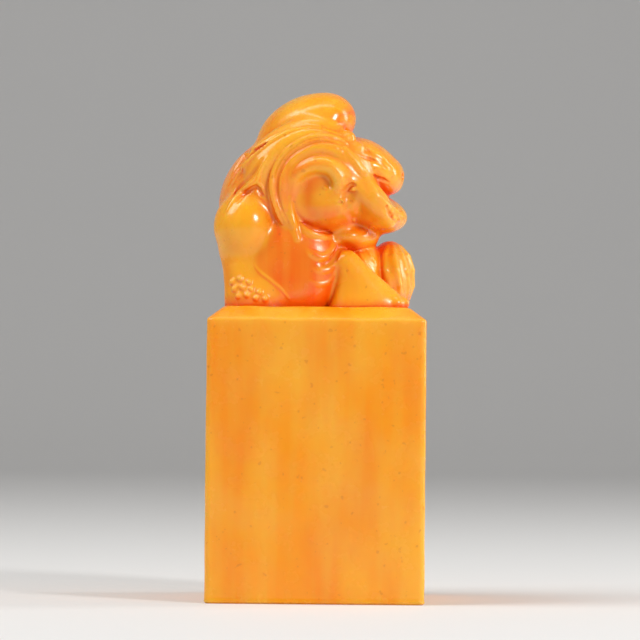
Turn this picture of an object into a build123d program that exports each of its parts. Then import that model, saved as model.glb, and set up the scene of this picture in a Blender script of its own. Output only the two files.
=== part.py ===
# Seal stamp: a square block of polished stone whose knob is a crouching guardian beast.
# The block stands on its printing face, centred on the origin, +Z up. The beast looks along +X.
# The near side of the beast is its -Y side. Millimetres and degrees.
from build123d import *
from math import cos, radians, sin, sqrt
import os

os.makedirs("parts", exist_ok=True)

# The shaft
block_side = 25.0
block_height = 32.2
corner_radius = 0.7
foot_bevel = 0.25
shoulder_rise = 1.4
shoulder_inset = 2.0

# The beast fills the block less a margin at its tail and muzzle and one at its flanks
tail_margin = 1.0
flank_margin = 2.5
beast_length = block_side - 2 * tail_margin
beast_width = block_side - 2 * flank_margin
beast_height = 24.6

# Carved ridges and knobs, each a radius
rim_ridge = 0.55
curl_ridge = 1.15
strand_ridge = 0.55
fold_ridge = 0.5
tuft_ridge = 0.45
toe_radius = 0.85
brow_radius = 1.0

beast_size = (beast_length, beast_width, beast_height)
ground = block_height + shoulder_rise
ground_plane = Plane.XY.offset(ground)


def spot(along, across, up):
    """A place on the beast, as shares of its length, width and height"""
    return Vector(along * beast_length, across * beast_width, ground + up * beast_height)


# A unit ball with a small ground flat at each end of its X axis, from which every egg is drawn out
end_flat_angle = 4
with BuildPart() as unit_ball:
    with BuildSketch(Plane.XY):
        with BuildLine():
            skin_arc = CenterArc((0, 0), 1, end_flat_angle, 180 - 2 * end_flat_angle)
            flat_end = cos(radians(end_flat_angle))
            Polyline(skin_arc @ 1, (-flat_end, 0), (flat_end, 0), skin_arc @ 0)
        make_face()
    revolve(axis=Axis.X)


def egg(place_shares, radius_shares, tip=0):
    """A rounded mass, its nose tipped down about its own Y axis"""
    with BuildPart() as round_mass:
        add(unit_ball.part)
        scale(by=tuple(share * size for share, size in zip(radius_shares, beast_size)))
    with BuildPart() as mass:
        with Locations(Location(spot(*place_shares), (0, tip, 0))):
            add(round_mass.part)
    return mass.part


def disc(middle, radius, width, edge_round):
    """A thick disc that faces the flanks, with softly rounded edges"""
    with BuildPart() as mass:
        with Locations(Location(middle, (90, 0, 0))):
            Cylinder(radius, width)
        fillet(mass.edges().filter_by(GeomType.CIRCLE), edge_round)
    return mass.part


def on_disc_edge(middle, radius, width, edge_round, turn, lean):
    """A place on a disc's near rounded edge: its turn up from +X, and its lean in from the rim"""
    level = radius - edge_round * (1 - cos(radians(lean)))
    depth = width / 2 - edge_round * (1 - sin(radians(lean)))
    return middle + Vector(level * cos(radians(turn)), -depth, level * sin(radians(turn)))


def limb(section_shares, across):
    """A leg of level oval sections, each a place along, a height, a half length and a half depth"""
    with BuildPart() as leg:
        for along, up, half_length, half_depth in section_shares:
            with BuildSketch(Plane(spot(along, across, up))):
                Ellipse(half_length * beast_length, half_depth * beast_width)
        loft()
    return leg.part


def ridge(places, radius):
    """A round ridge along the arc through three places"""
    with BuildPart() as line:
        with BuildLine() as path:
            ThreePointArc(*places)
        with BuildSketch(Plane(origin=path.line @ 0, z_dir=path.line % 0)):
            Circle(radius)
        sweep()
    return line.part


def near_skin(form_shares, run, rise, sunk=0):
    """The place on an egg's near skin at shares of its own level and upright radii, or under it"""
    place_shares, radius_shares, tip = form_shares
    level, depth, upright = (share * size for share, size in zip(radius_shares, beast_size))
    place = Vector(run * level, sunk - depth * sqrt(1 - run**2 - rise**2), rise * upright)
    return spot(*place_shares) + place.rotate(Axis.Y, tip)


# How far a ridge's ends sink under the skin that it rises from, as a share of its radius
end_sink_share = 1.6


def skin_ridge(form_shares, places, radius):
    """A ridge that rises out of an egg's near skin and sinks back into it at both ends"""
    first, middle, last = places
    sunk = end_sink_share * radius
    return ridge(
        [
            near_skin(form_shares, *first, sunk),
            near_skin(form_shares, *middle),
            near_skin(form_shares, *last, sunk),
        ],
        radius,
    )


def cut_back_to(*larger_forms):
    """Cuts the piece in hand back to the skin of each larger form, one after the other"""
    for form in larger_forms:
        add(form, mode=Mode.SUBTRACT)


def keep_above_ground():
    """Cuts the piece in hand flat where it stands on the shoulder"""
    split(bisect_by=ground_plane, keep=Keep.TOP)


# Square shaft with softened corners, flat underneath for printing
with BuildPart() as seal_block:
    with BuildSketch():
        RectangleRounded(block_side, block_side, corner_radius)
    extrude(amount=block_height)
    chamfer(seal_block.faces().sort_by(Axis.Z)[0].edges(), foot_bevel)

# Bevelled shoulder up to the ground that the beast stands on
ground_side = block_side - 2 * shoulder_inset
with BuildPart() as sloped_shoulder:
    with BuildSketch(Plane.XY.offset(block_height)):
        RectangleRounded(block_side, block_side, corner_radius)
    with BuildSketch(ground_plane):
        RectangleRounded(ground_side, ground_side, corner_radius)
    loft()

# Head, a thick round disc with softly rounded cheeks
head_radius = 0.265 * beast_length
head_width = 0.78 * beast_width
cheek_round = 0.15 * beast_width
head_middle = spot(0.021, 0, 0.58)
head_form = disc(head_middle, head_radius, head_width, cheek_round)

# Belly, a thicker and rounder disc that grows out of the ground
belly_radius = 0.296 * beast_length
belly_width = 0.82 * beast_width
belly_round = 0.22 * beast_width
belly_middle = spot(-0.143, 0, 0.175)
belly_form = disc(belly_middle, belly_radius, belly_width, belly_round)
with BuildPart() as belly:
    add(belly_form)
    keep_above_ground()
    cut_back_to(head_form)

# Back, sloping from the crown down to the haunches
back_shares = ((-0.239, 0, 0.537), (0.3, 0.385, 0.215), -55)
back_form = egg(*back_shares)
with BuildPart() as back:
    add(back_form)
    cut_back_to(head_form, belly_form)

# Brow knobs, two small bosses a side on the rim of the head, where the nose leaves the crown
brow_turns = (60, 44)
brow_across = head_width / 2 - 0.8 * cheek_round
with BuildPart() as brow_knobs:
    for turn in brow_turns:
        on_rim = Vector(cos(radians(turn)), 0, sin(radians(turn))) * head_radius
        for across in (-brow_across, brow_across):
            with Locations(head_middle + on_rim + Vector(0, across, 0)):
                Sphere(brow_radius)
    cut_back_to(head_form)

# Crown, the smooth dome that rises behind the brow, higher towards the face
crown_form = egg((-0.04, 0, 0.835), (0.248, 0.285, 0.148), -27)
with BuildPart() as crown:
    add(crown_form)
    cut_back_to(head_form, back_form, brow_knobs.part)

# Upper jaw with its upturned nose
upper_jaw_form = egg((0.259, 0, 0.66), (0.191, 0.295, 0.108), 36)
nose_form = egg((0.352, 0, 0.626), (0.074, 0.22, 0.069))
with BuildPart() as upper_jaw:
    add(upper_jaw_form)
    add(nose_form)
    cut_back_to(head_form, crown_form, brow_knobs.part)

# Lower jaw, a blunt snout with a full cheek at each side, under the open mouth
lower_jaw_form = egg((0.239, 0, 0.445), (0.211, 0.33, 0.1), 10)
jowl_shares = ((0.204, 0.285, 0.5), (0.178, 0.155, 0.081), 55)
(jowl_along, jowl_across, jowl_up), jowl_radius_shares, jowl_tip = jowl_shares
jowl_forms = [
    egg((jowl_along, side * jowl_across, jowl_up), jowl_radius_shares, jowl_tip) for side in (-1, 1)
]
with BuildPart() as lower_jaw:
    add(lower_jaw_form)
    for jowl_form in jowl_forms:
        add(jowl_form)
    cut_back_to(head_form, upper_jaw_form, nose_form)

far_knee_shares = ((0.361, 0.115, 0.134), (0.122, 0.285, 0.181), 0)
far_knee_form = egg(*far_knee_shares)

# Chin tuft under the jaw, and the chest between the jaw and the forelegs
chin_form = egg((0.161, 0, 0.329), (0.143, 0.37, 0.081))
chest_form = egg((0.2, 0, 0.14), (0.12, 0.26, 0.17))
with BuildPart() as chest:
    add(chest_form)
    keep_above_ground()
    cut_back_to(head_form, belly_form, lower_jaw_form, *jowl_forms, chin_form)
with BuildPart() as chin_tuft:
    add(chin_form)
    cut_back_to(head_form, belly_form, lower_jaw_form, *jowl_forms, far_knee_form)

# Far foreleg, drawn up in front of the chest, with long tufts that fall round it
with BuildPart() as foreleg_far:
    add(far_knee_form)
    keep_above_ground()
    cut_back_to(chest_form, lower_jaw_form)


def on_far_knee(turn, height):
    """A place on the far foreleg, at a turn from +X towards the near side and a height angle"""
    (along, across, up), (half_length, half_width, half_height), _ = far_knee_shares
    return spot(
        along + half_length * cos(radians(height)) * cos(radians(turn)),
        across - half_width * cos(radians(height)) * sin(radians(turn)),
        up + half_height * sin(radians(height)),
    )


tuft_turns = (-70, -42, -14, 14, 42, 70)
tuft_heights = (60, 15, -35)
with BuildPart() as foreleg_tufts:
    for turn in tuft_turns:
        add(ridge([on_far_knee(turn, height) for height in tuft_heights], tuft_ridge))
    keep_above_ground()
    cut_back_to(far_knee_form, lower_jaw_form)

# Haunch and hind leg of the near side
haunch_form = egg((-0.37, -0.285, 0.378), (0.148, 0.175, 0.142))
with BuildPart() as haunch_near:
    add(haunch_form)
    cut_back_to(belly_form, back_form)
hind_leg_shares = (
    (-0.372, 0.3, 0.1, 0.12),
    (-0.372, 0.171, 0.096, 0.11),
    (-0.361, 0.065, 0.098, 0.115),
    (-0.359, 0, 0.1, 0.12),
)
hind_leg_form = limb(hind_leg_shares, -0.3)
with BuildPart() as hind_leg_near:
    add(hind_leg_form)
    cut_back_to(belly_form, back_form, haunch_form)

# Hind paw, with its toes towards the near side
hind_paw_shares = (
    (-0.3, 0, 0.135, 0.115),
    (-0.291, 0.061, 0.117, 0.105),
    (-0.287, 0.118, 0.057, 0.05),
)
with BuildPart() as hind_paw_near:
    add(limb(hind_paw_shares, -0.33))
    with Locations(
        spot(-0.37, -0.42, 0), spot(-0.31, -0.44, 0), spot(-0.25, -0.42, 0)
    ):
        Sphere(toe_radius)
    keep_above_ground()
    cut_back_to(belly_form, hind_leg_form)

# Near foreleg, folded down in front of the belly, ending in a paw
foreleg_shares = (
    (0.139, 0.228, 0.022, 0.025),
    (0.161, 0.154, 0.074, 0.07),
    (0.2, 0.077, 0.139, 0.105),
    (0.23, 0, 0.187, 0.12),
)
foreleg_form = limb(foreleg_shares, -0.31)
with BuildPart() as foreleg_near:
    add(foreleg_form)
    cut_back_to(belly_form, chest_form, far_knee_form)
fore_paw_shares = (
    (0.39, 0, 0.055, 0.1),
    (0.39, 0.03, 0.05, 0.09),
    (0.39, 0.06, 0.025, 0.04),
)
with BuildPart() as fore_paw_near:
    add(limb(fore_paw_shares, -0.31))
    with Locations(
        spot(0.39, -0.385, 0), spot(0.42, -0.335, 0), spot(0.42, -0.27, 0)
    ):
        Sphere(toe_radius)
    keep_above_ground()
    cut_back_to(foreleg_form, far_knee_form, chest_form)

# Folds of the flank, nested crescents on the belly's near edge, each at three turns and leans
fold_angles = (
    ((37, 80), (25, 58), (31, 24)),
    ((-2, 78), (1, 60), (12, 41)),
    ((-28, 81), (-19, 65), (-10, 52)),
)
with BuildPart() as flank_folds_near:
    for fold in fold_angles:
        first, middle, last = [
            on_disc_edge(belly_middle, belly_radius, belly_width, belly_round, *angles)
            for angles in fold
        ]
        sunk = Vector(0, end_sink_share * fold_ridge, 0)
        add(ridge([first + sunk, middle, last + sunk], fold_ridge))
    cut_back_to(belly_form, head_form, foreleg_form, chest_form, chin_form)

# Mane strands that fall from the nape over the near side of the back
strand_shares = (
    ((0.46, 0.68), (0.1, 0.87), (-0.33, 0.86)),
    ((0.5, 0.32), (0.05, 0.47), (-0.5, 0.43)),
)
with BuildPart() as mane_strands_near:
    for strand in strand_shares:
        add(skin_ridge(back_shares, strand, strand_ridge))
    cut_back_to(back_form, head_form, haunch_form, crown_form)

# Spiral curl on the near cheek: three tangent turns that wind in to the middle
outer_turn = 0.66 * head_radius
middle_turn = 0.72 * outer_turn
inner_turn = 0.55 * middle_turn
curl_plane = Plane(head_middle - Vector(0, head_width / 2, 0), x_dir=(1, 0, 0), z_dir=(0, -1, 0))
with BuildPart() as cheek_curl_near:
    with BuildLine(curl_plane) as curl_path:
        outer_arc = CenterArc((0, 0), outer_turn, 235, -145)
        middle_arc = JernArc(outer_arc @ 1, outer_arc % 1, middle_turn, -120)
        JernArc(middle_arc @ 1, middle_arc % 1, inner_turn, -100)
    with BuildSketch(Plane(origin=curl_path.line @ 0, z_dir=curl_path.line % 0)):
        Circle(curl_ridge)
    sweep()
    with Locations(curl_path.line @ 0, curl_path.line @ 1):
        Sphere(curl_ridge)
    cut_back_to(head_form, back_form, lower_jaw_form, *jowl_forms)

# Raised rim that runs round the near cheek from the nape over the brow
rim_lean = 32
rim_turns = (190, 128, 66)
rim_places = [
    on_disc_edge(head_middle, head_radius, head_width, cheek_round, turn, rim_lean)
    for turn in rim_turns
]
with BuildPart() as cheek_rim_near:
    add(ridge(rim_places, rim_ridge))
    with Locations(rim_places[0], rim_places[-1]):
        Sphere(rim_ridge)
    cut_back_to(head_form, belly_form, back_form, cheek_curl_near.part, brow_knobs.part)

pieces = {
    "seal_block": seal_block.part,
    "sloped_shoulder": sloped_shoulder.part,
    "head": head_form,
    "belly": belly.part,
    "back": back.part,
    "crown": crown.part,
    "upper_jaw": upper_jaw.part,
    "lower_jaw": lower_jaw.part,
    "brow_knobs": brow_knobs.part,
    "chin_tuft": chin_tuft.part,
    "chest": chest.part,
    "foreleg_far": foreleg_far.part,
    "foreleg_tufts": foreleg_tufts.part,
    "foreleg_near": foreleg_near.part,
    "fore_paw_near": fore_paw_near.part,
}
near_pieces = {
    "haunch": haunch_near,
    "hind_leg": hind_leg_near,
    "hind_paw": hind_paw_near,
    "flank_folds": flank_folds_near,
    "mane_strands": mane_strands_near,
    "cheek_rim": cheek_rim_near,
    "cheek_curl": cheek_curl_near,
}

# The far side has the same haunch, hind leg, paw, folds, strands, rim and curl
for name, piece in near_pieces.items():
    with BuildPart() as far_piece:
        add(piece.part)
        mirror(about=Plane.XZ, mode=Mode.REPLACE)
    pieces[f"{name}_near"] = piece.part
    pieces[f"{name}_far"] = far_piece.part

for name, piece in pieces.items():
    piece.label = name
    export_step(piece, f"parts/{name}.step")
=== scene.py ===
from math import cos, pi, radians, sin

import bpy
import numpy as np
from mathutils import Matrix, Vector


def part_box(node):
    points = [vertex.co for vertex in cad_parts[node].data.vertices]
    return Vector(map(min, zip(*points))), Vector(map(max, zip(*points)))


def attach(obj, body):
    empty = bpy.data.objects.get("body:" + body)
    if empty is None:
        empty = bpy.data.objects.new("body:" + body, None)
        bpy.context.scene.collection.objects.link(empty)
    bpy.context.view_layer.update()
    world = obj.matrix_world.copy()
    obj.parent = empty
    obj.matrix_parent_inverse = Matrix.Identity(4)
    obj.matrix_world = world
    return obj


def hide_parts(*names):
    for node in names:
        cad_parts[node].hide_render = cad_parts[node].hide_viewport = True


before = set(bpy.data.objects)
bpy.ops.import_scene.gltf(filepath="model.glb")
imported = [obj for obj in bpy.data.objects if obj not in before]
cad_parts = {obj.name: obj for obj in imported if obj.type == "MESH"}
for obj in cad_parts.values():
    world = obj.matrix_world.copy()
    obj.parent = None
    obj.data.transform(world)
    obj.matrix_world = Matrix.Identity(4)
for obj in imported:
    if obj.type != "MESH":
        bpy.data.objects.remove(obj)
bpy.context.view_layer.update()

# The shaft: one square block of amber stone, sawn true, its edges eased and every face rubbed
# to a soft gloss. Its top is bevelled up to the level ground that the beast crouches on.
MM = 0.001
block_half_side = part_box("seal_block")[1].x / MM
block_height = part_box("seal_block")[1].z / MM
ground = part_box("sloped_shoulder")[1].z / MM
shoulder_inset = 2.0
upright_edge_radius = 0.7
top_edge_radius = 0.4
foot_bevel = 0.25
foot_insets = (11.5, 9, 6.5, 4, 2.5, 1.5, 0.9, 0.5, 0.32)
ground_insets = (2.6, 3.2, 4.2, 5.5, 7, 9, 11)
places_per_side = 64
rubbed_away = 0.065
chip_depth_share = 0.3

# Each wave is a direction, a length, a height and a phase; each chip is a place and a size
side_waves = (
    ((1, 0, 0.3), 9.0, 0.018, 0.4),
    ((0, 1, 0.2), 11.0, 0.018, 1.9),
    ((0.4, 0.3, 1), 7.0, 0.014, 3.1),
    ((0.9, 0.8, 0.5), 3.1, 0.006, 0.7),
)
top_waves = (((1, 0.6, 0), 8.0, 0.03, 0.3), ((0.8, -1, 0), 3.7, 0.02, 1.2))
edge_chips = (
    (-block_half_side, 0.1 - block_half_side, 30.6, 0.35),
    (-7.9, -block_half_side, 0.1, 0.5),
    (block_half_side - 0.1, -block_half_side, 11.0, 0.3),
    (5.0, block_half_side, block_height, 0.4),
)


def ripple(places, waves):
    """A gentle unevenness, the sum of slow waves that each run their own way"""
    total = np.zeros(len(places))
    for direction, length, height, phase in waves:
        total += height * np.sin(places @ (np.array(direction) * 2 * pi / length) + phase)
    return total


def side_positions(half_side, corner, steps):
    """Places round a square with rounded corners, closer together near the corners"""
    straight = half_side - corner
    share = np.sin(np.linspace(-pi / 2, pi / 2, steps))
    turn = np.linspace(0, pi / 2, 9)[1:-1]
    ring = []
    for quarter in range(4):
        along = np.stack([share * straight, np.full(steps, -half_side)], 1)
        bend = np.stack([straight + corner * np.sin(turn), -straight - corner * np.cos(turn)], 1)
        side = np.concatenate([along, bend])
        angle = quarter * pi / 2
        spin = np.array([[cos(angle), sin(angle)], [-sin(angle), cos(angle)]])
        ring.append(side @ spin)
    return np.concatenate(ring)


def ring_mesh(rings):
    """Quads between rings of equally many places, closed by a fan at both ends"""
    count = len(rings[0])
    vertices = np.concatenate([rings[0].mean(0)[None], *rings, rings[-1].mean(0)[None]])
    here = np.arange(count)
    after = (here + 1) % count
    faces = [(0, 1 + b, 1 + a) for a, b in zip(here, after)]
    for level in range(len(rings) - 1):
        low, high = 1 + level * count, 1 + (level + 1) * count
        faces += [(low + a, low + b, high + b, high + a) for a, b in zip(here, after)]
    last = 1 + (len(rings) - 1) * count
    faces += [(len(vertices) - 1, last + a, last + b) for a, b in zip(here, after)]
    return vertices, faces


def block_profile():
    """The block's outline from the middle of its foot up to the ground, as inset and height"""
    slope = np.arctan2(ground - block_height, shoulder_inset)
    places = [(inset, 0) for inset in foot_insets]
    places += [(foot_bevel, 0), (0.15, 0.08), (0.06, 0.16), (0, 0.27), (0, 0.4), (0, 0.7)]
    places += [(0, height) for height in np.linspace(1.2, block_height - 1, 46)]
    places += [(0, block_height - 0.6), (0, block_height - 0.4)]
    reach = top_edge_radius * np.tan((pi / 2 - slope) / 2)
    for angle in np.linspace(0, pi / 2 - slope, 7):
        inset = top_edge_radius * (1 - np.cos(angle))
        places.append((inset, block_height - reach + top_edge_radius * np.sin(angle)))
    for share in (0.2, 0.35, 0.5, 0.65, 0.8, 0.9):
        places.append((shoulder_inset * share, block_height + share * (ground - block_height)))
    places += [(shoulder_inset, ground - 0.05), (shoulder_inset + 0.2, ground - 0.02)]
    places += [(inset, ground) for inset in ground_insets]
    return places


def shape_block():
    """The block as stacked square rings, then rubbed a little uneven and chipped at its edges"""
    rings = []
    for inset, height in block_profile():
        half_side = block_half_side - inset
        corner = min(upright_edge_radius, half_side * 0.5)
        level = side_positions(half_side, corner, places_per_side)
        rings.append(np.column_stack([level, np.full(len(level), height)]))
    vertices, faces = ring_mesh(rings)
    push = ripple(vertices, side_waves) - rubbed_away
    outward = vertices.copy()
    outward[:, 2] = 0
    outward /= np.maximum(np.abs(outward).max(1, keepdims=True), 1)
    above_foot = (vertices[:, 2] > 0.3)[:, None]
    vertices += outward * push[:, None] * above_foot
    high = vertices[:, 2] > block_height - 0.5
    vertices[high, 2] += ripple(vertices[high], top_waves)
    edge_zone = block_half_side - 0.5
    for x, y, z, size in edge_chips:
        away = np.linalg.norm(vertices - (x, y, z), axis=1)
        dent = np.clip(1 - away / size, 0, 1)[:, None] * size * chip_depth_share
        outside = (np.sign(x) * (abs(x) > edge_zone), np.sign(y) * (abs(y) > edge_zone), 0)
        vertices -= dent * np.array(outside)
    return vertices, faces


def new_piece(name, vertices_mm, faces, material, slot, *nodes):
    """A closed smooth mesh that stands for CAD nodes and rides on the one body of the seal"""
    mesh = bpy.data.meshes.new(name)
    mesh.from_pydata((vertices_mm * MM).tolist(), [], faces)
    mesh.shade_smooth()
    mesh.materials.append(material)
    piece = bpy.data.objects.new(name, mesh)
    bpy.context.scene.collection.objects.link(piece)
    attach(piece, "root")
    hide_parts(*nodes)
    return piece


def corners_of(piece):
    """Where the corners of a piece's mesh are, in mm"""
    flat = np.empty(len(piece.data.vertices) * 3, np.float32)
    piece.data.vertices.foreach_get("co", flat)
    return flat.reshape(-1, 3) / np.float32(MM)


def paint(piece, name, values):
    """Keeps one value for each corner of a piece's mesh"""
    mask = piece.data.attributes.new(name, "FLOAT", "POINT")
    mask.data.foreach_set("value", values.astype(np.float32))


# The look of the stone: slow upright streaks and paler clouds in clear amber. Over them lie
# light and shade painted on the mesh: painted shade, deep orange, in the hollows; painted light,
# pale, on narrow ridges and edges; and a painted glow, clearer, where light passes through a
# slender part.
def add_socket(group, name, side, kind, value=None):
    """A named input or output of a node group, with the value an input starts from"""
    socket = group.interface.new_socket(name, in_out=side, socket_type=kind)
    if value is not None:
        socket.default_value = value


def noise_mask(group, coordinates, grain, detail, low, high):
    """A soft mask from noise whose grains per metre along each axis are given"""
    nodes, links = group.nodes, group.links
    mapping = nodes.new("ShaderNodeMapping")
    mapping.inputs["Scale"].default_value = grain
    noise = nodes.new("ShaderNodeTexNoise")
    noise.inputs["Scale"].default_value = 1
    noise.inputs["Detail"].default_value = detail
    spread = nodes.new("ShaderNodeMapRange")
    spread.inputs["From Min"].default_value = low
    spread.inputs["From Max"].default_value = high
    links.new(coordinates, mapping.inputs["Vector"])
    links.new(mapping.outputs["Vector"], noise.inputs["Vector"])
    links.new(noise.outputs["Fac"], spread.inputs["Value"])
    return spread.outputs["Result"]


def mixed(group, share, first, second, most=1.0):
    """One colour laid over another by a mask, up to a greatest share"""
    mix = group.nodes.new("ShaderNodeMix")
    mix.data_type = "RGBA"
    strength = group.nodes.new("ShaderNodeMath")
    strength.operation = "MULTIPLY"
    strength.inputs[1].default_value = most
    group.links.new(share, strength.inputs[0])
    group.links.new(strength.outputs[0], mix.inputs["Factor"])
    group.links.new(first, mix.inputs["A"])
    if isinstance(second, tuple):
        mix.inputs["B"].default_value = second
    else:
        group.links.new(second, mix.inputs["B"])
    return mix.outputs["Result"]


def stone_figure_and_light():
    """The node group that puts out the stone's colour with painted light and shade, its roughness and
    its small dents
    """
    figure_and_light = bpy.data.node_groups.new("stone_figure_and_light", "ShaderNodeTree")
    add_socket(figure_and_light, "Body", "INPUT", "NodeSocketColor", (0.96, 0.33, 0.006, 1))
    add_socket(figure_and_light, "Pale", "INPUT", "NodeSocketColor", (0.97, 0.5, 0.045, 1))
    add_socket(figure_and_light, "Deep", "INPUT", "NodeSocketColor", (0.84, 0.11, 0, 1))
    add_socket(figure_and_light, "Glow_through", "INPUT", "NodeSocketColor", (0.98, 0.375, 0, 1))
    # Masks of painted shade in the hollows, painted light on edges and painted glow through slender
    # parts
    for painted_mask in ("Hollow", "Painted_edge_light", "Painted_glow"):
        add_socket(figure_and_light, painted_mask, "INPUT", "NodeSocketFloat", 0.0)
    add_socket(figure_and_light, "Color", "OUTPUT", "NodeSocketColor")
    add_socket(figure_and_light, "Roughness", "OUTPUT", "NodeSocketFloat")
    add_socket(figure_and_light, "Height", "OUTPUT", "NodeSocketFloat")
    given = figure_and_light.nodes.new("NodeGroupInput").outputs
    result = figure_and_light.nodes.new("NodeGroupOutput").inputs
    at = figure_and_light.nodes.new("ShaderNodeTexCoord").outputs["Object"]

    streaks = noise_mask(figure_and_light, at, (620, 620, 45), 3, 0.4, 0.68)
    clouds = noise_mask(figure_and_light, at, (105, 105, 70), 2, 0.42, 0.64)
    warmth = noise_mask(figure_and_light, at, (150, 150, 50), 3, 0.44, 0.62)
    specks = noise_mask(figure_and_light, at, (1500, 1500, 1500), 1, 0.71, 0.76)
    # Painted glow: clearer, yellower stone where light passes through a slender limb or near the
    # block's edges
    colour = mixed(figure_and_light, given["Painted_glow"], given["Body"], given["Glow_through"])
    colour = mixed(figure_and_light, clouds, colour, given["Pale"], 0.5)
    colour = mixed(figure_and_light, warmth, colour, given["Deep"], 0.3)
    colour = mixed(figure_and_light, streaks, colour, given["Pale"], 0.32)
    # Painted light: a painted highlight along the block's edges and a painted glow on narrow ridges and
    # toes
    colour = mixed(figure_and_light, given["Painted_edge_light"], colour, given["Pale"], 0.85)
    # Painted shade: deep orange in the carving's hollows and creases
    colour = mixed(figure_and_light, given["Hollow"], colour, given["Deep"], 0.95)
    colour = mixed(figure_and_light, specks, colour, (0.55, 0.12, 0.01, 1), 0.35)
    figure_and_light.links.new(colour, result["Color"])

    gloss = figure_and_light.nodes.new("ShaderNodeMapRange")
    gloss.inputs["To Min"].default_value = 0.17
    gloss.inputs["To Max"].default_value = 0.34
    figure_and_light.links.new(noise_mask(figure_and_light, at, (420, 420, 420), 4, 0.35, 0.7), gloss.inputs["Value"])
    figure_and_light.links.new(gloss.outputs["Result"], result["Roughness"])
    figure_and_light.links.new(noise_mask(figure_and_light, at, (700, 700, 500), 3, 0.3, 0.7), result["Height"])
    return figure_and_light


figure_and_light = stone_figure_and_light()


def amber(name, body, glow, dents):
    """Polished amber stone of a body colour, a glow depth in metres and a depth of small dents"""
    material = bpy.data.materials.new(name)
    material.use_nodes = True
    nodes, links = material.node_tree.nodes, material.node_tree.links
    shader = nodes["Principled BSDF"]
    shader.inputs["Subsurface Weight"].default_value = 0.4
    shader.inputs["Subsurface Radius"].default_value = (1.0, 0.3, 0.06)
    shader.inputs["Subsurface Scale"].default_value = glow
    shader.inputs["IOR"].default_value = 1.5
    shader.inputs["Coat Weight"].default_value = 0.15
    shader.inputs["Coat Roughness"].default_value = 0.09
    stone = nodes.new("ShaderNodeGroup")
    stone.node_tree = figure_and_light
    stone.inputs["Body"].default_value = (*body, 1)
    # The painted shade, painted light and painted glow are read from the mesh
    for mask in ("Hollow", "Painted_edge_light", "Painted_glow"):
        painted = nodes.new("ShaderNodeAttribute")
        painted.attribute_name = mask.lower()
        links.new(painted.outputs["Fac"], stone.inputs[mask])
    bump = nodes.new("ShaderNodeBump")
    bump.inputs["Distance"].default_value = dents
    bump.inputs["Strength"].default_value = 1
    links.new(stone.outputs["Height"], bump.inputs["Height"])
    links.new(bump.outputs["Normal"], shader.inputs["Normal"])
    links.new(stone.outputs["Color"], shader.inputs["Base Color"])
    links.new(stone.outputs["Roughness"], shader.inputs["Roughness"])
    return material


# The polished block, made of the ring mesh and the stone above. A painted glow makes its stone
# look clearer towards its edges, where light comes through it, and a painted highlight makes it
# palest right at them.
slim_reach = 2.4
thin_reach = 0.45
block_stone = amber("block_stone", body=(0.99, 0.33, 0), glow=0.0014, dents=0.00002)
block = new_piece(
    "polished_block", *shape_block(), block_stone, "block_stone", "seal_block", "sloped_shoulder"
)
block_corners = np.abs(corners_of(block))
gaps = np.column_stack([block_half_side - block_corners[:, :2], block_height - block_corners[:, 2]])
from_edge = np.maximum(np.sort(gaps, 1)[:, 1], 0)
# Painted glow that grows towards the block's edges
paint(block, "painted_glow", np.exp(-from_edge / slim_reach) * 0.9)
# Painted highlight right along the block's edges
paint(block, "painted_edge_light", np.exp(-from_edge / thin_reach) * 0.8)


# The beast's belly, a full round mass with nested folds on the flank. The whole beast is cut
# from the block's stone: masses in mm from the middle of the ground, joined and then chiselled.
# It looks along +X and its near side, the one the photograph shows, is its -Y side.
masses, stood_for, cuts = [], [], []


def mass(soft, *nodes):
    """Marks the function that roughs out a mass, its blend in mm and the CAD nodes it stands for"""
    def keep(shape):
        masses.append((shape, soft))
        stood_for.extend(nodes)
        return shape
    return keep


def chisel(pixels, thick, sunk=0.1, soft=0.2, hollow=False, within=None):
    """Lays a ridge or a groove on the skin along pixels of the photograph, on both flanks, or
    on the near one alone where the skin is looked for only within a depth"""
    cuts.append((pixels, thick, sunk, soft, hollow, within))


def disc(places, middle, radius, half_width, edge):
    """How far places lie outside a thick round disc whose axle lies across the beast"""
    out = np.hypot(places[:, 0] - middle[0], places[:, 2] - middle[2]) - (radius - edge)
    wide = np.abs(places[:, 1] - middle[1]) - (half_width - edge)
    beyond = np.hypot(np.maximum(out, 0), np.maximum(wide, 0))
    return np.minimum(np.maximum(out, wide), 0) + beyond - edge


@mass(0.5, "belly", "flank_folds_near", "flank_folds_far")
def belly(places):
    """The round body of the beast"""
    return disc(places, middle=(-3.3, 0, 4.3), radius=6.8, half_width=8.2, edge=4.4)


upper_fold = ((308, 249), (313, 254), (322, 257.5), (331, 252), (337, 240))
middle_fold = ((314, 268), (320, 271), (329, 269), (336, 263), (341, 254))
lower_fold = ((311, 281), (318, 284.5), (327, 283), (334, 276))
fold_valley = ((318, 263), (326, 263), (333, 257), (338, 247))
chisel(upper_fold, (0.2, 0.45, 0.5, 0.45, 0.25), sunk=0.3, soft=0.3)
chisel(middle_fold, (0.15, 0.38, 0.42, 0.35, 0.15), sunk=0.26, soft=0.25)
chisel(lower_fold, (0.1, 0.24, 0.24, 0.12), sunk=0.16, soft=0.25)
chisel(fold_valley, (0.1, 0.4, 0.4, 0.2), sunk=-0.15, soft=0.3, hollow=True)


# The back and its mane: two broad locks sweep from the brow over the cheek and down the back.
# Finer strands are cut into them, and one runs round the top of the haunch.
camera_line = 32.1
camera_row = 320
mm_per_pixel = 0.1137

# The seal leans a little in the photograph: its middle moves sideways from row to row
middle_column = 317.8
middle_row = 200
lean_per_row = 0.0092


def on_side(pixels):
    """Places on the near flank, along and above the ground, of pixels in the photograph"""
    spots = []
    for across, down in pixels:
        middle = middle_column + (middle_row - down) * lean_per_row
        height = camera_line - ground + (camera_row - down) * mm_per_pixel
        spots.append(((across - middle) * mm_per_pixel, height))
    return spots


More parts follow.
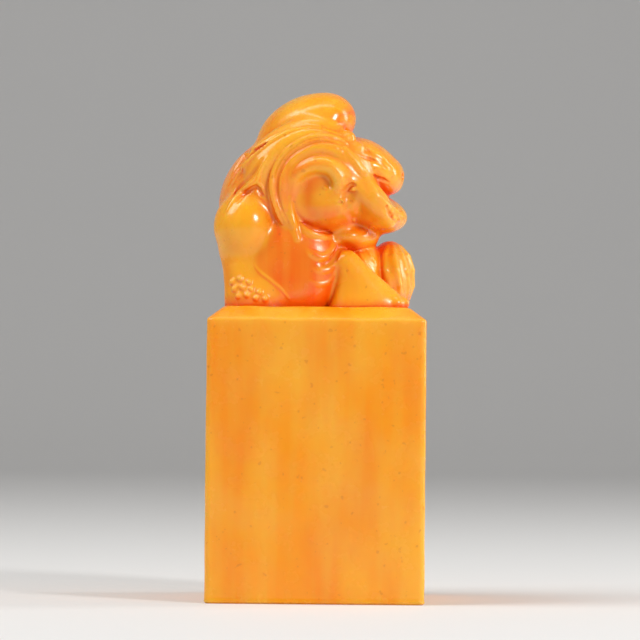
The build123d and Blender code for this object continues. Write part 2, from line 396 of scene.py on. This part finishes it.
def smooth_line(points, steps=8):
    """A smooth curve through given points"""
    given = np.array(points, float)
    ends = np.vstack([2 * given[0] - given[1], given, 2 * given[-1] - given[-2]])
    out = []
    for i in range(1, len(ends) - 2):
        a, b, c, d = ends[i - 1 : i + 3]
        bend, turn = 2 * a - 5 * b + 4 * c - d, 3 * b - a - 3 * c + d
        for t in np.linspace(0, 1, steps, endpoint=False):
            out.append(0.5 * (2 * b + (c - a) * t + bend * t**2 + turn * t**3))
    out.append(given[-1])
    return np.array(out, np.float32)


def line_at(pixels, depth, steps=3):
    """A smooth line on the near side through pixels of the photograph, at a depth or depths"""
    spots = np.array(on_side(pixels))
    given = np.atleast_1d(depth)
    depths = np.interp(np.linspace(0, 1, len(spots)), np.linspace(0, 1, len(given)), given)
    return smooth_line(np.column_stack([spots[:, 0], depths, spots[:, 1]]), steps)


def flank(places):
    """The same places with the far side folded over onto the near side"""
    folded = places.copy()
    folded[:, 1] = -np.abs(folded[:, 1])
    return folded


def egg(places, middle, radii, tip=0):
    """How far places lie outside an egg whose nose is tipped down"""
    x, y, z = (places[:, i] - np.float32(middle[i]) for i in range(3))
    c, s = np.float32(cos(radians(tip))), np.float32(sin(radians(tip)))
    u, w = x * c - z * s, x * s + z * c
    a, b, h = (np.float32(r) for r in radii)
    near = np.sqrt((u / a) ** 2 + (y / b) ** 2 + (w / h) ** 2)
    steep = np.sqrt((u / a**2) ** 2 + (y / b**2) ** 2 + (w / h**2) ** 2)
    return near * (near - 1) / np.maximum(steep, 1e-6)


def tube(places, line, radii):
    """How far places lie outside a round bar of changing radius along a line"""
    best = np.full(len(places), 1e3, np.float32)
    line = np.asarray(line, np.float32)
    radii = np.interp(np.linspace(0, 1, len(line)), np.linspace(0, 1, len(radii)), radii)
    radii = radii.astype(np.float32)
    for i in range(len(line) - 1):
        start, run = line[i], line[i + 1] - line[i]
        to = places - start
        t = np.clip(to @ run / max(run @ run, 1e-9), 0, 1)
        gap = to - t[:, None] * run
        away = np.sqrt(np.einsum("ij,ij->i", gap, gap)) - (radii[i] + t * (radii[i + 1] - radii[i]))
        np.minimum(best, away, out=best)
    return best


def join(a, b, soft):
    """Both masses, with a hollow fillet of the given size where they meet"""
    h = np.clip(0.5 + 0.5 * (b - a) / soft, 0, 1)
    return b + (a - b) * h - soft * h * (1 - h)


high_lock = ((346, 134), (325, 128), (302, 128), (280, 138), (262, 151), (247, 166))
low_lock = ((341, 139), (318, 134), (297, 138), (279, 149), (266, 164), (256, 182), (250, 200))
mane_locks = (
    (high_lock, (0.5, 0.9, 1.1, 1.2, 1.0, 0.6), (-4.4, -5.4, -6.0, -6.2)),
    (low_lock, (0.4, 0.7, 0.9, 1.2, 1.3, 1.1, 0.6), (-6.4, -7.0, -6.9, -6.6)),
)


@mass(0.5, "back", "mane_strands_near", "mane_strands_far")
def back(places):
    """The sloping back with a pair of locks on each side"""
    near = flank(places)
    rough = egg(places, middle=(-5.5, 0, 13.2), radii=(6.9, 7.7, 5.3), tip=-55)
    for pixels, thick, depth in mane_locks:
        rough = join(rough, tube(near, line_at(pixels, depth), thick), soft=1.0)
    return rough


top_strand = ((231, 175), (243, 157), (260, 146.5), (274, 137), (290, 129))
next_strand = ((233, 184), (247, 163), (263, 148), (277, 138), (292, 131), (310, 127))
strand_furrow = ((228, 186), (239, 168), (253, 154), (268, 144))
haunch_strand = ((227, 212), (234, 201), (244, 191), (256, 181), (260, 170), (268, 157))
short_strand = ((257, 182), (263, 191), (267, 202))
flank_strand = ((256, 193), (264, 200), (269, 209), (273, 218))
middle_furrow = ((231, 199), (243, 184), (254, 173), (262, 160))
haunch_furrow = ((238, 203), (247, 193), (256, 188), (262, 196))
chisel(top_strand, (0.14, 0.3, 0.3, 0.26, 0.12), sunk=0.04, soft=0.12)
chisel(next_strand, (0.14, 0.3, 0.3, 0.28, 0.12), sunk=0.04, soft=0.12)
chisel(strand_furrow, (0.1, 0.2, 0.2, 0.1), sunk=-0.04, soft=0.25, hollow=True)
chisel(haunch_strand, (0.12, 0.3, 0.36, 0.36, 0.24, 0.12), sunk=0.06, soft=0.15)
chisel(short_strand, (0.25, 0.2, 0.1), sunk=0.08, soft=0.15)
chisel(flank_strand, (0.12, 0.3, 0.3, 0.15), sunk=0.1, soft=0.15)
chisel(middle_furrow, (0.1, 0.24, 0.24, 0.1), sunk=-0.04, soft=0.3, hollow=True)
chisel(haunch_furrow, (0.1, 0.22, 0.22, 0.1), sunk=-0.04, soft=0.3, hollow=True)


# The crown, a smooth dome of bare stone that rises behind the brow. It is cut a little higher
# towards the face than down the back.
@mass(0.9, "crown")
def crown(places):
    """The dome and the bulge at its front"""
    rough = egg(places, middle=(-1.85, 0, 20.35), radii=(5.65, 5.7, 3.65), tip=-30)
    return join(rough, egg(places, middle=(1.4, 0, 21.6), radii=(2.9, 4.9, 2.8)), soft=0.9)


# The head, a thick round disc of stone with the cheeks as its faces. A rolled band winds round
# each cheek into a spiral hollow, and a raised rim with a furrow beside it follows the band.
cheek_band = (
    (293, 228), (284, 214), (280, 197), (282, 178), (291, 160),
    (306, 150), (322, 147), (338, 153), (349, 166),
)
cheek_lip = (
    (291, 196), (293, 181), (301, 171), (315, 165),
    (330, 167), (339, 178), (337, 188), (328, 193),
)
cheek_hollow = (
    (326, 185), (318, 180), (309, 183.5), (303.5, 192), (302.5, 204),
    (306, 214), (314, 221.5), (325, 227), (338, 231),
)


def scoop(a, b, soft):
    """The first mass with the second taken out of it"""
    return -join(-a, b, soft)


@mass(0.5, "head", "cheek_curl_near", "cheek_curl_far", "cheek_rim_near", "cheek_rim_far")
def head(places):
    """The disc of the head with its band, its lip, the low swelling of the cheek and the curl"""
    near = flank(places)
    rough = disc(places, middle=(0.48, 0, 14.27), radius=6.1, half_width=7.8, edge=3.0)
    band = tube(near, line_at(cheek_band, -6.9), (0.8, 1.3, 1.5, 1.5, 1.4, 1.2, 0.8))
    lip = tube(near, line_at(cheek_lip, (-7.3, -7.8, -8.0, -7.6)), (0.5, 0.9, 1.0, 0.9, 0.4))
    curl = tube(near, line_at(cheek_hollow, (-8.9, -8.75, -8.9)), (0.3, 0.7, 1.0, 1.0, 0.8, 0.3))
    rough = join(rough, band, soft=0.6)
    rough = join(rough, lip, soft=0.5)
    rough = join(rough, egg(near, middle=(1.1, -6.4, 11.6), radii=(2.2, 2.0, 2.1)), soft=0.7)
    return scoop(rough, curl, soft=0.6)


rim_ridge = (
    (282, 224), (275.5, 208), (272, 190), (273.5, 172), (284, 153),
    (299, 142), (318, 136.5), (336, 138), (347, 143.5),
)
rim_furrow = (
    (289, 224), (281, 208), (277, 190), (279, 174), (288, 158.5),
    (302, 148), (319, 142), (335, 143.5), (344, 149),
)
falling_strand = ((290, 198), (291.5, 212), (294, 226), (297.5, 239))
cheek_fold = ((296, 217), (302, 227), (311, 233), (322, 236), (333, 236))
cheek_furrow = ((303, 222), (310, 228), (320, 231.5), (332, 232))
curl_end = ((324.5, 187.5), (326, 188.5))
chisel(rim_ridge, (0.14, 0.34, 0.36, 0.34, 0.14), sunk=0.0, soft=0.1)
chisel(rim_furrow, (0.1, 0.27, 0.27, 0.27, 0.1), sunk=-0.04, soft=0.1, hollow=True)
chisel(falling_strand, (0.08, 0.35, 0.5, 0.3), sunk=0.1, soft=0.35)
chisel(cheek_fold, (0.1, 0.4, 0.5, 0.4, 0.15), sunk=0.1, soft=0.35)
chisel(cheek_furrow, (0.1, 0.3, 0.3, 0.1), sunk=-0.1, soft=0.25, hollow=True)
chisel(curl_end, (0.25, 0.25), sunk=0.1, soft=0.1)


# The upper jaw with its upturned nose, and the knobs of the brow: one sloping mass of stone
# with two small balls left standing on each side and a nostril drilled in each side of the nose.
@mass(0.5, "upper_jaw", "brow_knobs")
def upper_jaw(places):
    """The nose with its brow knobs and nostrils"""
    near = flank(places)
    rough = egg(places, middle=(5.95, 0, 16.25), radii=(4.4, 5.9, 2.65), tip=36)
    rough = join(rough, egg(near, middle=(3.3, -5.3, 19.3), radii=(0.95, 1.1, 0.85)), soft=0.25)
    rough = join(rough, egg(near, middle=(4.25, -5.5, 18.1), radii=(0.95, 1.1, 0.85)), soft=0.25)
    rough = join(rough, egg(places, middle=(8.1, 0, 15.4), radii=(1.7, 4.4, 1.7)), soft=0.5)
    return scoop(rough, egg(near, middle=(9.75, -1.5, 15.1), radii=(0.6, 0.7, 0.45)), soft=0.3)


nose_ridge = ((360, 146), (371, 151), (382, 157), (393, 166))
nose_furrow = ((356, 153), (364, 156), (375, 160), (387, 167))
nose_crease = ((373, 174), (378, 177), (383, 178.5), (389, 181))
chisel(nose_ridge, (0.2, 0.45, 0.4, 0.15), sunk=0.12, soft=0.2)
chisel(nose_furrow, (0.15, 0.3, 0.25, 0.12), sunk=-0.08, soft=0.15, hollow=True)
chisel(nose_crease, (0.12, 0.3, 0.3, 0.12), sunk=-0.05, soft=0.1, hollow=True)


# The lower jaw, a blunt snout in front of the cheek with a curled, roughened tip. The eye, a
# small ring and the row of teeth are cut into it with a fine point.
def short_marks(spots, lean, thick, sunk, soft):
    """Chisels a row of short marks that lean the same way from their pixels"""
    for across, down in spots:
        chisel(((across, down), (across + lean[0], down + lean[1])), thick, sunk, soft)


@mass(0.5, "lower_jaw")
def lower_jaw(places):
    """The snout, the muscle that crosses it, its root at the cheek and the swelling over the eye"""
    near = flank(places)
    rough = egg(places, middle=(5.5, 0, 10.95), radii=(4.85, 6.6, 2.45), tip=10)
    rough = join(rough, egg(near, middle=(5.8, -5.4, 12.4), radii=(4.3, 3.0, 1.85), tip=48), soft=0.9)
    rough = join(rough, egg(near, middle=(2.6, -6.6, 12.0), radii=(2.2, 1.7, 2.0)), soft=0.9)
    return join(rough, egg(near, middle=(2.9, -5.9, 15.2), radii=(2.7, 2.5, 1.3), tip=50), soft=0.8)


jaw_hollow = ((351, 190), (348, 198), (347.5, 206), (350, 214), (354, 221))
eye_pit = ((349, 185), (352, 184.5), (355, 185))
eye_lid = ((349, 190.5), (353, 189), (358, 189.5))
cheek_ring = ((337.5, 202), (340, 199.5), (343, 202), (341, 205), (338, 204))
teeth = ((354, 219), (357, 223.5), (361, 227.5), (366, 230))
mouth_ring = ((369, 227), (372, 224.5), (376, 227), (374, 231), (370, 230))
snout_crest = ((345, 149), (354, 159), (362, 171), (370, 184), (377, 195), (386, 203), (398, 210))
tip_furrow = ((386, 206), (390, 214), (396, 219))
tip_ridge = ((394, 207), (398, 212), (404, 214))
tip_grains = ((391, 210), (397, 208), (402, 211.5), (393, 216), (399, 217.5), (404, 216))
chisel(jaw_hollow, (0.4, 0.65, 0.55, 0.25, 0.08), sunk=-0.28, soft=0.5, hollow=True)
chisel(eye_pit, (0.15, 0.3, 0.15), sunk=-0.02, soft=0.1, hollow=True)
chisel(eye_lid, (0.1, 0.28, 0.1), sunk=0.05, soft=0.1)
chisel(cheek_ring, (0.13, 0.14), sunk=0.02, soft=0.08)
short_marks(teeth, lean=(1.2, 2.2), thick=(0.28, 0.16), sunk=0.05, soft=0.1)
chisel(mouth_ring, (0.16, 0.16), sunk=0.03, soft=0.08)
chisel(snout_crest, (0.15, 0.4, 0.5, 0.5, 0.45, 0.35, 0.12), sunk=0.12, soft=0.35)
chisel(tip_furrow, (0.15, 0.3, 0.2), sunk=-0.05, soft=0.15, hollow=True)
chisel(tip_ridge, (0.2, 0.35, 0.3), sunk=0.1, soft=0.15)
short_marks(tip_grains, lean=(1.5, 0.5), thick=(0.26, 0.24), sunk=0.04, soft=0.1)


# The tuft under the chin, a soft lobe, and below it the pale chest between the forelegs. Three
# hairs are cut into the chest on the near side.
@mass(1.0, "chin_tuft")
def chin(places):
    """The lobe under the jaw"""
    return egg(places, middle=(3.4, 0, 8.1), radii=(3.6, 6.5, 2.1), tip=3)


@mass(0.5, "chest")
def chest(places):
    """The upright mass behind the forelegs"""
    return egg(places, middle=(4.7, 0, 3.5), radii=(3.0, 5.3, 4.4))


chest_hairs = (
    ((351, 253), (353, 261), (358, 269)),
    ((359, 252), (363, 260), (370, 268)),
    ((367, 250), (372, 257), (377, 264)),
)
for hair in chest_hairs:
    chisel(hair, (0.12, 0.3, 0.15), sunk=0.12, soft=0.25, within=-5.4)


# The far foreleg, drawn up in front of the chest as a round knee. Long tufts of hair fall
# round it from top to bottom, side by side, each with a slight sway.
knee_middle = np.array((8.35, 2.3, 3.3))
knee_radii = np.array((2.75, 5.6, 4.4))
tuft_turns = (-98, -70, -42, -14, 14, 42, 70, 98)
tuft_rises = (62, 38, 14, -10, -36)
tuft_sway = 0.16
sways_per_rise = 2.4
tuft_sink_share = 0.98


@mass(0.5, "foreleg_far", "foreleg_tufts")
def foreleg_far(places):
    """The knee and the tufts that lie on it"""
    rough = egg(places, knee_middle, knee_radii)
    rise = np.radians(tuft_rises)
    for turn in np.radians(tuft_turns):
        lean = turn + tuft_sway * np.sin(sways_per_rise * rise)
        way = np.column_stack([np.cos(rise) * np.cos(lean), -np.cos(rise) * np.sin(lean), np.sin(rise)])
        tuft = knee_middle + tuft_sink_share * way * knee_radii
        rough = join(rough, tube(places, tuft, (0.1, 0.34, 0.4, 0.34, 0.1)), soft=0.3)
    return rough


# The near foreleg, folded to the ground like a smooth wedge that fans out from its elbow. Its
# paw ends in three toes.
elbow = (3.35, -6.1, 5.0)
elbow_radius = 0.55
foot_depth = -6.2
fan = ((5.0, 2.15), (6.3, 1.9), (7.6, 1.55), (8.7, 1.2))
fore_toes = ((9.0, -7.3), (9.7, -6.4), (9.7, -5.3))


@mass(0.6, "foreleg_near", "fore_paw_near")
def foreleg_near(places):
    """The wedge, made of bars from the elbow down to the ground, and its toes"""
    rough = tube(places, (elbow, (3.45, foot_depth, 0.1)), (elbow_radius, 2.1))
    for along, size in fan:
        bar = tube(places, (elbow, (along, foot_depth, 0.1)), (elbow_radius, size))
        rough = join(rough, bar, soft=1.8)
    for along, depth in fore_toes:
        toe = egg(places, middle=(along, depth, 0.45), radii=(0.85, 0.7, 0.75))
        rough = join(rough, toe, soft=0.3)
    return rough


# The haunches, a smooth ball of stone at each side of the rump. Each is rubbed softly into the
# flank in front of it and into the leg below.
@mass(1.0, "haunch_near", "haunch_far")
def haunch(places):
    """The ball of the hip"""
    return egg(flank(places), middle=(-8.35, -5.5, 9.2), radii=(3.5, 3.6, 3.9), tip=8)


# The hind legs and their long paws: stout columns of stone under the haunches. A line is cut
# along the paw, and three rows of beads stand for the hair over the toes.
@mass(1.0, "hind_leg_near", "hind_leg_far", "hind_paw_near", "hind_paw_far")
def hind_leg(places):
    """The column of the leg and the long paw"""
    near = flank(places)
    shin = ((-8.6, -5.2, 6.0), (-8.55, -5.9, 4.2), (-8.3, -6.3, 1.6), (-8.25, -6.4, 0))
    rough = tube(near, shin, (2.55, 2.2, 2.2, 2.25))
    return join(rough, egg(near, middle=(-6.9, -6.6, 0.9), radii=(3.2, 2.3, 2.6), tip=22), soft=0.9)


paw_line = ((252, 262), (259, 272), (270, 281), (281, 290), (289, 299))
bead_rows = (
    ((232, 283), (240, 280), (249, 283)),
    ((234, 290), (242, 288), (251, 290), (259, 293)),
    ((238, 297), (247, 296), (256, 299), (265, 300)),
)
chisel(paw_line, (0.1, 0.2, 0.2, 0.1), sunk=0.06, soft=0.15)
for row in bead_rows:
    short_marks(row, lean=(1, -1.5), thick=(0.36, 0.3), sunk=0.08, soft=0.12)


# The carving as a whole: the masses are joined, every chiselled line is laid on their skin, and
# the skin is meshed as one, because the beast is one stone without a seam.
beast_low = (-12.8, -10.6, -0.8)
beast_high = (12.2, 10.6, 25.2)
under_ground = -0.3
beside_beast = -11
past_middle = 8
skin_reach = 0.6
bar_margin = 0.5
cell = 0.25
most_triangles = 190000


def rough_beast(places):
    """The masses together, before they are blended and chiselled"""
    return np.min([shape(places) for shape, _ in masses], 0)


def slope_of(field, places, reach=0.03):
    """The field and its slope at places"""
    value = field(places)
    axes = np.eye(3, dtype=np.float32)
    slope = np.stack([field(places + np.float32(reach) * axis) - value for axis in axes], 1) / reach
    return value, slope


def near_depth(field, line, within):
    """How deep the near skin of a field lies at each place of a line along and above the ground"""
    depths = np.linspace(within, past_middle, 191, dtype=np.float32)
    probe = np.array([(x, y, z) for x, z in line for y in depths], np.float32)
    inside = (field(probe) < 0).reshape(len(line), -1)
    return np.where(inside.any(1), depths[inside.argmax(1)], -1.0)


def laid_cuts():
    """Every chiselled line as a bar that follows the roughed-out skin"""
    laid = []
    for pixels, thick, sunk, soft, hollow, within in cuts:
        spots = np.array(on_side(pixels))
        line = smooth_line(np.column_stack([spots[:, 0], np.zeros(len(spots)), spots[:, 1]]), 5)
        depth = near_depth(rough_beast, line[:, [0, 2]], within or beside_beast)
        if len(depth) > 4:
            depth = np.convolve(np.pad(depth, 1, mode="edge"), (0.25, 0.5, 0.25), "valid")
        line[:, 1] = depth
        value, slope = slope_of(rough_beast, line)
        slope /= np.maximum(np.linalg.norm(slope, axis=1, keepdims=True), 1e-6)
        line -= slope * (np.clip(value, -skin_reach, skin_reach) + sunk)[:, None]
        reach = max(thick) + soft + bar_margin
        laid.append((line, thick, soft, hollow, within, line.min(0) - reach, line.max(0) + reach))
    return laid


bars = laid_cuts()


def carved_masses(places):
    """How far places lie outside the carving, its masses joined and then chiselled"""
    whole = masses[0][0](places)
    for shape, soft in masses[1:]:
        whole = join(whole, shape(places), soft)
    near = flank(places)
    for line, thick, soft, hollow, within, low, high in bars:
        here = places if within else near
        close = np.nonzero(((here > low) & (here < high)).all(1))[0]
        if len(close):
            bar = tube(here[close], line, thick)
            whole[close] = (scoop if hollow else join)(whole[close], bar, soft)
    return whole


def whole_beast(places):
    """The carving, ending a little under the ground it stands on"""
    return np.maximum(carved_masses(places), under_ground - places[:, 2])


def shifted(axis):
    """Slices that pair each place of a grid with the next one along an axis"""
    first = [slice(None)] * 3
    second = [slice(None)] * 3
    first[axis], second[axis] = slice(0, -1), slice(1, None)
    return tuple(first), tuple(second)


def cell_corners(value):
    """Which cells the skin crosses, and where in each of them its corner lies"""
    shape = value.shape
    total = np.zeros(tuple(n - 1 for n in shape) + (3,), np.float32)
    crossings = np.zeros(tuple(n - 1 for n in shape), np.float32)
    for axis in range(3):
        first, second = shifted(axis)
        here, after = value[first], value[second]
        cut = (here < 0) != (after < 0)
        share = np.where(cut, here / np.where(cut, here - after, 1), 0).astype(np.float32)
        u, v = [i for i in range(3) if i != axis]
        for right in (0, 1):
            for up in (0, 1):
                pick = [slice(0, n - 1) for n in shape]
                pick[u] = slice(right, shape[u] - 1 + right)
                pick[v] = slice(up, shape[v] - 1 + up)
                hit = cut[tuple(pick)]
                crossings += hit
                total[..., axis] += np.where(hit, share[tuple(pick)], 0)
                total[..., u] += right * hit
                total[..., v] += up * hit
    used = crossings > 0
    return used, np.argwhere(used) + total[used] / crossings[used][:, None]


def skin_of(field, low, high, step):
    """A closed mesh of quads where the field crosses zero, one corner in each crossed cell"""
    axes = [np.arange(low[i], high[i] + step, step, dtype=np.float32) for i in range(3)]
    grid = np.stack(np.meshgrid(*axes, indexing="ij"), -1).reshape(-1, 3)
    value = np.concatenate([field(grid[i : i + 200000]) for i in range(0, len(grid), 200000)])
    value = value.reshape([len(axis) for axis in axes])
    inside = value < 0
    used, corners = cell_corners(value)
    number = np.full(used.shape, -1, np.int64)
    number[used] = np.arange(used.sum())
    quads = []
    for axis in range(3):
        first, second = shifted(axis)
        crossed = np.argwhere(inside[first] != inside[second])
        leaving = inside[first][tuple(crossed.T)]
        u, v = (axis + 1) % 3, (axis + 2) % 3
        around = []
        for right, up in ((-1, -1), (0, -1), (0, 0), (-1, 0)):
            beside = crossed.copy()
            beside[:, u] += right
            beside[:, v] += up
            around.append(number[tuple(beside.T)])
        quad = np.stack(around, 1)
        quad[~leaving] = quad[~leaving][:, ::-1]
        quads.append(quad)
    return (corners * step + np.array(low)).astype(np.float32), np.concatenate(quads)


def halved(vertices, quads):
    """The same mesh with every quad split in four"""
    count = len(vertices)
    edges = np.concatenate([quads[:, [i, (i + 1) % 4]] for i in range(4)])
    keys = np.sort(edges, 1)
    unique, index = np.unique(keys[:, 0] * count + keys[:, 1], return_inverse=True)
    pairs = np.stack([unique // count, unique % count], 1)
    middles = vertices[pairs].mean(1)
    centres = vertices[quads].mean(1)
    mid = index.reshape(4, -1).T + count
    centre = np.arange(len(quads)) + count + len(middles)
    parts = [np.stack([quads[:, i], mid[:, i], centre, mid[:, i - 1]], 1) for i in range(4)]
    return np.concatenate([vertices, middles, centres]).astype(np.float32), np.concatenate(parts)


def settle(field, vertices, rounds=2):
    """Moves corners onto the field's zero"""
    for _ in range(rounds):
        value, slope = slope_of(field, vertices)
        push = value / np.maximum((slope**2).sum(1), 0.05)
        vertices = vertices - np.clip(push, -0.2, 0.2)[:, None] * slope
    return vertices


vertices, quads = halved(*skin_of(whole_beast, beast_low, beast_high, cell))
vertices = settle(whole_beast, vertices)
beast_stone = amber("beast_stone", body=(0.93, 0.075, 0), glow=0.0007, dents=0.000012)
beast = new_piece(
    "carved_beast", vertices + (0, 0, ground), quads.tolist(), beast_stone, "carved_stone", *stood_for
)

# The mesh is thinned where the skin is plain, and each corner left is then set true on the skin
thinning = beast.modifiers.new("thinning", "DECIMATE")
thinning.ratio = min(1, most_triangles / (2 * len(quads)))
thinned = bpy.data.meshes.new_from_object(beast.evaluated_get(bpy.context.evaluated_depsgraph_get()))
beast.modifiers.clear()
beast.data = thinned
thinned.shade_smooth()
corners = corners_of(beast) - (0, 0, np.float32(ground))
corners = settle(whole_beast, corners.astype(np.float32), 1)
thinned.vertices.foreach_set("co", ((corners + (0, 0, ground)) * MM).astype(np.float32).ravel())


# Light and shade are painted on the beast from the depth of its carving: painted shade makes its
# stone deep orange in the hollows, painted light makes it pale on narrow ridges, and a painted glow
# makes it clearer where a whole limb is slender enough for light to pass through.
crease_reach = 0.45
hollow_reach = 1.4
ridge_reach = 0.5
toe_reach = 1.4
limb_reach = 6


def sheltered(outward, reach):
    """How much the carving closes in over its own corners within a reach"""
    places = corners + outward * np.float32(reach)
    return 1 - np.minimum(carved_masses(places), places[:, 2]) / reach


def buried(field, outward, reach):
    """How far short of a reach the stone ends behind each corner"""
    return 1 + field(corners - outward * np.float32(reach)) / reach


outward = slope_of(whole_beast, corners)[1]
outward /= np.maximum(np.linalg.norm(outward, axis=1, keepdims=True), 1e-6)
# Painted shade: how much the carving closes in over each corner, near at hand and farther out
hollow = 0.4 * sheltered(outward, crease_reach) + 0.75 * sheltered(outward, hollow_reach)
hollow = np.clip(hollow, 0, 1)
# Painted light: pale where the stone ends close behind a ridge, an edge or a toe
painted_edge_light = 0.55 * buried(carved_masses, outward, ridge_reach)
painted_edge_light = painted_edge_light + 0.35 * buried(carved_masses, outward, toe_reach)
paint(beast, "hollow", hollow)
paint(beast, "painted_edge_light", np.clip(painted_edge_light, 0, 1) * (1 - hollow))
# Painted glow where a whole limb is slender enough for light to pass through
paint(beast, "painted_glow", np.clip(1.65 * buried(rough_beast, outward, limb_reach), 0, 1))


# The studio: a pale floor that runs up into a pale backdrop, four soft boxes round the seal and
# a long lens at the photograph's angle, level with the top of the block.
seal_middle = Vector((0, 0, 0.035))
sweep_radius = 0.3
sweep_start = 0.5
sweep = [(-2.0, 0), (sweep_start, 0)]
for turn in np.linspace(0.15, pi / 2, 10):
    sweep.append((sweep_start + sweep_radius * sin(turn), sweep_radius - sweep_radius * cos(turn)))
sweep.append((sweep_start + sweep_radius, 1.8))


def floor_and_backdrop():
    """One sheet, matt and pale, that runs along the floor and up behind the seal"""
    corners = [(side, y, z) for y, z in sweep for side in (-2, 2)]
    faces = [(2 * i, 2 * i + 1, 2 * i + 3, 2 * i + 2) for i in range(len(sweep) - 1)]
    mesh = bpy.data.meshes.new("floor_and_backdrop")
    mesh.from_pydata(corners, [], faces)
    mesh.shade_smooth()
    sheet = bpy.data.objects.new("floor_and_backdrop", mesh)
    bpy.context.scene.collection.objects.link(sheet)
    paper = bpy.data.materials.new("floor_and_backdrop")
    paper.use_nodes = True
    shader = paper.node_tree.nodes["Principled BSDF"]
    shader.inputs["Base Color"].default_value = (0.78, 0.77, 0.75, 1)
    shader.inputs["Roughness"].default_value = 0.7
    mesh.materials.append(paper)


def soft_box(name, place, size, watts):
    """A white rectangular lamp that faces the seal"""
    lamp = bpy.data.lights.new(name, "AREA")
    lamp.shape = "RECTANGLE"
    lamp.size, lamp.size_y = size
    lamp.energy = watts
    box = bpy.data.objects.new(name, lamp)
    box.location = place
    box.rotation_euler = (seal_middle - Vector(place)).to_track_quat("-Z", "Y").to_euler()
    bpy.context.scene.collection.objects.link(box)


floor_and_backdrop()
soft_box("key_box", place=(0.33, -0.32, 0.22), size=(0.09, 0.12), watts=1.28)
soft_box("left_box", place=(-0.26, -0.08, 0.38), size=(0.24, 0.32), watts=1.25)
soft_box("top_box", place=(0, -0.03, 0.5), size=(0.34, 0.07), watts=0.35)
soft_box("right_box", place=(0.34, 0.08, 0.14), size=(0.08, 0.24), watts=0.5)

world = bpy.data.worlds.new("studio")
bpy.context.scene.world = world
world.use_nodes = True
sky = world.node_tree.nodes["Background"]
sky.inputs["Color"].default_value = (0.85, 0.85, 0.87, 1)
sky.inputs["Strength"].default_value = 0.28

lens = bpy.data.cameras.new("camera")
lens.lens = 299.2
lens.sensor_width = 36
lens.clip_end = 20
camera = bpy.data.objects.new("camera", lens)
camera.location = (0.00037, -0.6125, camera_line * MM)
camera.rotation_euler = (radians(90), radians(-0.525), 0)
bpy.context.scene.collection.objects.link(camera)
bpy.context.scene.camera = camera
bpy.context.scene.view_settings.view_transform = "Standard"
